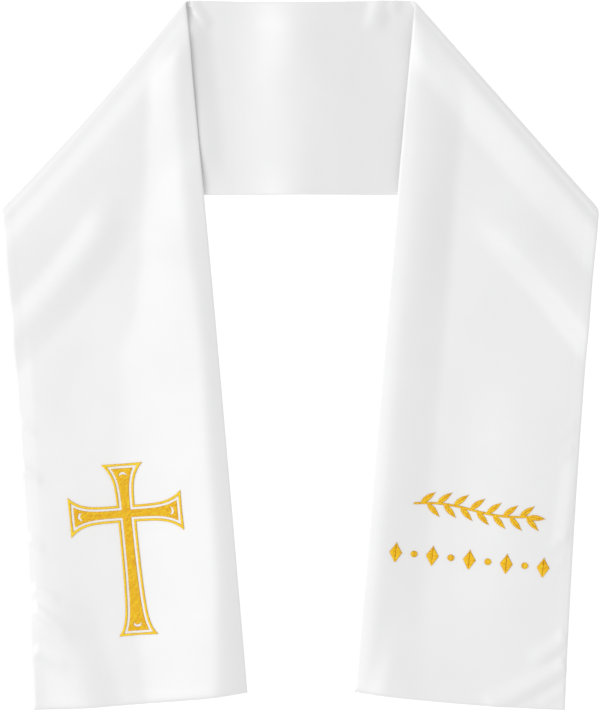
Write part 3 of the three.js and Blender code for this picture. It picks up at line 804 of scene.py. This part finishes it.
def fill_rows(outlines, heading, pitch, stitch):
    """Rows of stitches across outlines, as (starts, ends). Each row begins a part of a stitch later."""
    turned_outlines = [turned(outline, -heading) for outline in outlines]
    corners = np.concatenate(turned_outlines)
    following = np.concatenate([np.roll(outline, -1, axis=0) for outline in turned_outlines])
    low, high = corners[:, 1].min(), corners[:, 1].max()
    shortest = stitch * SHORTEST_STITCH
    starts, ends = [], []
    for row, y in enumerate(np.arange(low + pitch / 2, high, pitch)):
        met = (corners[:, 1] <= y) != (following[:, 1] <= y)
        share = (y - corners[met, 1]) / (following[met, 1] - corners[met, 1])
        crossings = np.sort(mix(corners[met, 0], following[met, 0], share))
        for left, right in zip(crossings[::2], crossings[1::2]):
            first = np.floor(left / stitch) * stitch + (row * ROW_OFFSET % 1) * stitch
            cuts = np.arange(first, right, stitch)
            cuts = cuts[(cuts > left + shortest) & (cuts < right - shortest)]
            stops = np.concatenate([[left], cuts, [right]])
            starts += [(x, y) for x in stops[:-1]]
            ends += [(x, y) for x in stops[1:]]
    return turned(np.array(starts), heading), turned(np.array(ends), heading)


def cross_stitches(material):
    carry = sewn(LEFT_FRONT, CROSS_ACROSS, CROSS_DOWN, CROSS_ARM_TILT, CROSS_TILT)
    border = []
    for outer, inner in zip(cross_sides(0), cross_sides(CROSS_BORDER)):
        starts, ends = satin_stitches(outer, inner)
        border.append(thread_tubes(LEFT_FRONT, carry, starts, ends, BORDER_THREAD))
    border_piece = stitched_piece("cross_border_stitches", border, material, ["cross_border"])

    outline = np.concatenate(cross_sides(CROSS_BORDER + CROSS_CHANNEL))
    outlines = [outline] + [crescent(arm) for arm in CROSS_ARMS]
    under = fill_rows(outlines, FILL_HEADING + np.pi / 2, UNDERLAY_PITCH, FILL_STITCH * 2)
    over = fill_rows(outlines, FILL_HEADING, FILL_PITCH, FILL_STITCH)
    fill = [thread_tubes(LEFT_FRONT, carry, *under, UNDERLAY_THREAD),
            thread_tubes(LEFT_FRONT, carry, *over, FILL_THREAD)]
    return [border_piece, stitched_piece("cross_fill_stitches", fill, material, ["cross_fill"])]


# ---- The sprig and the row under it ----

def halves(length, half_width, slant):
    """Satin stitches in two halves, from a midrib out to both sides, for a shape of some half width."""
    share = np.linspace(0, 1, LEAF_STEPS)
    reached = np.minimum(share + slant * (1 - share), 1)
    lots = []
    for sign in (1, -1):
        rib = np.stack([share * length, 0 * share - sign * RIB_OVERLAP], axis=-1)
        side = np.stack([reached * length, sign * half_width(reached)], axis=-1)
        lots.append(satin_stitches(rib, side))
    return lots


def leaf_half_width(share):
    """A leaf's sides are curves from root to tip that are drawn out by one point at its belly."""
    turn = np.linspace(0, 1, LEAF_STEPS)
    x = 2 * turn * (1 - turn) * LEAF_BELLY + turn ** 2
    return np.interp(share, x, 2 * turn * (1 - turn) * LEAF_WIDTH)


def lozenge_half_width(share):
    return LOZENGE_WIDTH / 2 * (1 - np.abs(2 * share - 1))


def stem_place(share):
    share = np.asarray(share, float)
    x = (share - 0.5) * (SPRIG_LENGTH - LEAF_LENGTH)
    return np.stack([x, STEM_SWAY * np.sin(2 * np.pi * share)], axis=-1)


def sprig_stitches(material):
    carry = sewn(RIGHT_FRONT, SPRIG_ACROSS, SPRIG_DOWN, SPRIG_TILT, SPRIG_TILT)
    leaves = [(stem_place(1 - STEM_WIDTH / SPRIG_LENGTH), 0)]
    for pair in range(LEAF_PAIRS):
        leaves.append((stem_place((pair + LEAF_STAGGER) / LEAF_PAIRS), LEAF_SPREAD))
        leaves.append((stem_place((pair + 2 * LEAF_STAGGER) / LEAF_PAIRS), -LEAF_SPREAD))
    lots = []
    for root, heading in leaves:
        for starts, ends in halves(LEAF_LENGTH, leaf_half_width, LEAF_SLANT):
            lots.append((turned(starts, heading) + root, turned(ends, heading) + root))
    stem = stem_place(np.linspace(0, 1, STEM_STEPS))
    side = np.array([0, STEM_WIDTH / 2])
    slant = np.array([STEM_WIDTH / 3, 0])
    lots.append(satin_stitches(stem - side, stem + side + slant))
    parts = [thread_tubes(RIGHT_FRONT, carry, starts, ends, LEAF_THREAD) for starts, ends in lots]
    return stitched_piece("sprig_stitches", parts, material, ["sprig"])


def lozenge_stitches(middle):
    """An upright lozenge's stitches, in two halves."""
    foot = np.array([middle, -LOZENGE_HEIGHT / 2])
    lots = halves(LOZENGE_HEIGHT, lozenge_half_width, LOZENGE_SLANT)
    return [(turned(starts, np.pi / 2) + foot, turned(ends, np.pi / 2) + foot) for starts, ends in lots]


def dot_stitches(middle):
    """Upright stitches side by side across a round dot."""
    x = np.linspace(-DOT_RADIUS, DOT_RADIUS, DOT_STEPS)
    half = np.sqrt(DOT_RADIUS ** 2 - x ** 2)
    even = np.linspace(0.5, DOT_STEPS - 1.5, int(2 * DOT_RADIUS / SATIN_PITCH))
    middles = np.interp(even, np.arange(DOT_STEPS), x + middle)
    reach = np.interp(even, np.arange(DOT_STEPS), half)
    return [(np.stack([middles, -reach], axis=-1), np.stack([middles, reach], axis=-1))]


def row_stitches(material):
    """Lozenges and dots in turn."""
    carry = sewn(RIGHT_FRONT, ROW_ACROSS, ROW_DOWN, ROW_TILT, ROW_TILT)
    lots, replaced = [], []
    for place in range(2 * LOZENGE_COUNT - 1):
        middle = (place / (2 * LOZENGE_COUNT - 2) - 0.5) * (ROW_LENGTH - LOZENGE_WIDTH)
        number = place // 2 + 1
        if place % 2 == 0:
            lots += lozenge_stitches(middle)
            replaced.append(f"lozenge_{number}")
        else:
            lots += dot_stitches(middle)
            replaced.append(f"dot_{number}")
    parts = [thread_tubes(RIGHT_FRONT, carry, starts, ends, LEAF_THREAD) for starts, ends in lots]
    return stitched_piece("row_stitches", parts, material, replaced)


# ---- Materials ----

def node_material(name):
    material = bpy.data.materials.new(name)
    material.use_nodes = True
    tree = material.node_tree
    return material, tree.nodes, tree.links, tree.nodes["Principled BSDF"]


def set_inputs(node, values):
    for name, value in values.items():
        node.inputs[name].default_value = value


def noise(nodes, links, vector, scale, detail):
    """The output of a noise texture on a vector."""
    texture = nodes.new("ShaderNodeTexNoise")
    set_inputs(texture, {"Scale": scale, "Detail": detail})
    links.new(vector, texture.inputs["Vector"])
    return texture.outputs["Fac"]


def colour_ramp(nodes, links, factor, stops):
    """The output of a ramp through (position, red, green, blue) stops."""
    node = nodes.new("ShaderNodeValToRGB")
    elements = node.color_ramp.elements
    for position, *_ in stops[1:-1]:
        elements.new(position)
    for element, (position, *colour) in zip(elements, stops):
        element.position = position
        element.color = (*colour, 1)
    links.new(factor, node.inputs["Fac"])
    return node.outputs["Color"]


def satin_material():
    """White polyester satin: long floats lie along the strip, so its gloss spreads across it."""
    material, nodes, links, shader = node_material("white_satin")
    set_inputs(shader, {
        "Roughness": 0.48, "Anisotropic": 0.45, "IOR": 1.8, "Specular IOR Level": 0.9,
        "Sheen Weight": 0.12, "Sheen Roughness": 0.4,
    })
    uv = nodes.new("ShaderNodeUVMap")
    uv.uv_map = "cloth"
    tangent = nodes.new("ShaderNodeTangent")
    tangent.direction_type = "UV_MAP"
    tangent.uv_map = "cloth"
    links.new(tangent.outputs["Tangent"], shader.inputs["Tangent"])

    # Colour: barely uneven, as woven cloth is.
    tint = noise(nodes, links, uv.outputs["UV"], scale=60, detail=3)
    whites = [(0.35, 0.872, 0.872, 0.874), (0.65, 0.88, 0.88, 0.882)]
    links.new(colour_ramp(nodes, links, tint, whites), shader.inputs["Base Color"])

    # The weave: floats about a quarter of a millimetre wide and two millimetres long.
    stretch = nodes.new("ShaderNodeMapping")
    set_inputs(stretch, {"Scale": (4000, 500, 1)})
    links.new(uv.outputs["UV"], stretch.inputs["Vector"])
    bump = nodes.new("ShaderNodeBump")
    set_inputs(bump, {"Strength": 0.3, "Distance": 0.00002})
    links.new(noise(nodes, links, stretch.outputs["Vector"], scale=1, detail=1), bump.inputs["Height"])
    links.new(bump.outputs["Normal"], shader.inputs["Normal"])
    return material


def thread_material():
    """Golden rayon thread: glossy, lighter or darker from stitch to stitch, with painted shade where each
    stitch dips into the cloth.
    """
    material, nodes, links, shader = node_material("golden_thread")
    set_inputs(shader, {"Roughness": 0.34, "IOR": 1.5, "Specular IOR Level": 0.4})

    # The tone of each stitch, with painted shade towards its ends, made uneven in small patches.
    shade = nodes.new("ShaderNodeAttribute")
    shade.attribute_name = "shade"
    place = nodes.new("ShaderNodeTexCoord")
    patches = noise(nodes, links, place.outputs["Object"], scale=900, detail=2)
    uneven = nodes.new("ShaderNodeMapRange")
    set_inputs(uneven, {"From Min": 0.3, "From Max": 0.7, "To Min": 0.6, "To Max": 1.2})
    links.new(patches, uneven.inputs["Value"])
    tone = nodes.new("ShaderNodeMath")
    tone.operation = "MULTIPLY"
    links.new(shade.outputs["Fac"], tone.inputs[0])
    links.new(uneven.outputs["Result"], tone.inputs[1])
    # The painted shade at the stitches' ends pulls their tone down this ramp towards its dark brown.
    golds = [(0, 0.42, 0.19, 0.002), (0.45, 0.95, 0.51, 0.004), (1, 1, 0.76, 0.02)]
    links.new(colour_ramp(nodes, links, tone.outputs["Value"], golds), shader.inputs["Base Color"])
    return material


def floor_material():
    """A pale sweep that is lit brighter than the satin."""
    material, _, _, shader = node_material("studio_floor")
    set_inputs(shader, {
        "Base Color": (0.3, 0.3, 0.3, 1), "Roughness": 0.9, "Specular IOR Level": 0.1,
        "Emission Color": (1, 1, 1, 1), "Emission Strength": 0.8,
    })
    return material


# ---- Studio ----

CAMERA_HEIGHT = 1.4         # metres over the floor
VIEW_MARGIN = 0.0004        # metres of floor seen beyond the stole's length, in all
SENSOR_HEIGHT = 24
KEY_AZIMUTH = np.radians(175)       # from the left, and a little from the band's side
KEY_ELEVATION = np.radians(50)
KEY_DISTANCE = 6
KEY_SIZE = 4.5
KEY_POWER = 139
SKY_STRENGTH = 0.687
FLOOR_REACH = 3
FAR_CLIP = 50               # metres from the camera


def studio_camera():
    data = bpy.data.cameras.new("camera")
    camera = bpy.data.objects.new("camera", data)
    bpy.context.scene.collection.objects.link(camera)
    low, high = cad_box
    view_height = high.y - low.y + VIEW_MARGIN
    data.sensor_fit = "VERTICAL"
    data.sensor_height = SENSOR_HEIGHT
    data.lens = SENSOR_HEIGHT * CAMERA_HEIGHT / view_height
    data.clip_end = FAR_CLIP
    camera.location = ((low.x + high.x) / 2, (low.y + high.y) / 2, CAMERA_HEIGHT)
    bpy.context.scene.camera = camera


def aimed_light(name, azimuth, elevation, distance, size, power):
    data = bpy.data.lights.new(name, "AREA")
    data.shape = "DISK"
    data.size = size
    data.energy = power
    light = bpy.data.objects.new(name, data)
    bpy.context.scene.collection.objects.link(light)
    flat = np.cos(elevation)
    away = Vector((np.cos(azimuth) * flat, np.sin(azimuth) * flat, np.sin(elevation)))
    light.location = away * distance
    light.rotation_euler = away.to_track_quat("Z", "Y").to_euler()


def studio_floor():
    mesh = bpy.data.meshes.new("floor")
    r = FLOOR_REACH
    mesh.from_pydata([(-r, -r, 0), (r, -r, 0), (r, r, 0), (-r, r, 0)], [], [(0, 1, 2, 3)])
    mesh.materials.append(floor_material())
    floor = bpy.data.objects.new("floor", mesh)
    bpy.context.scene.collection.objects.link(floor)
    return floor


def studio():
    studio_camera()
    aimed_light("key", KEY_AZIMUTH, KEY_ELEVATION, KEY_DISTANCE, KEY_SIZE, KEY_POWER)
    world = bpy.data.worlds.new("world")
    world.use_nodes = True
    set_inputs(world.node_tree.nodes["Background"], {"Color": (1, 1, 1, 1), "Strength": SKY_STRENGTH})
    bpy.context.scene.world = world
    bpy.context.scene.view_settings.view_transform = "Standard"
    return studio_floor()


floor = studio()
cloth = stole_cloth(satin_material())
gold = thread_material()
embroidery = [*cross_stitches(gold), sprig_stitches(gold), row_stitches(gold)]
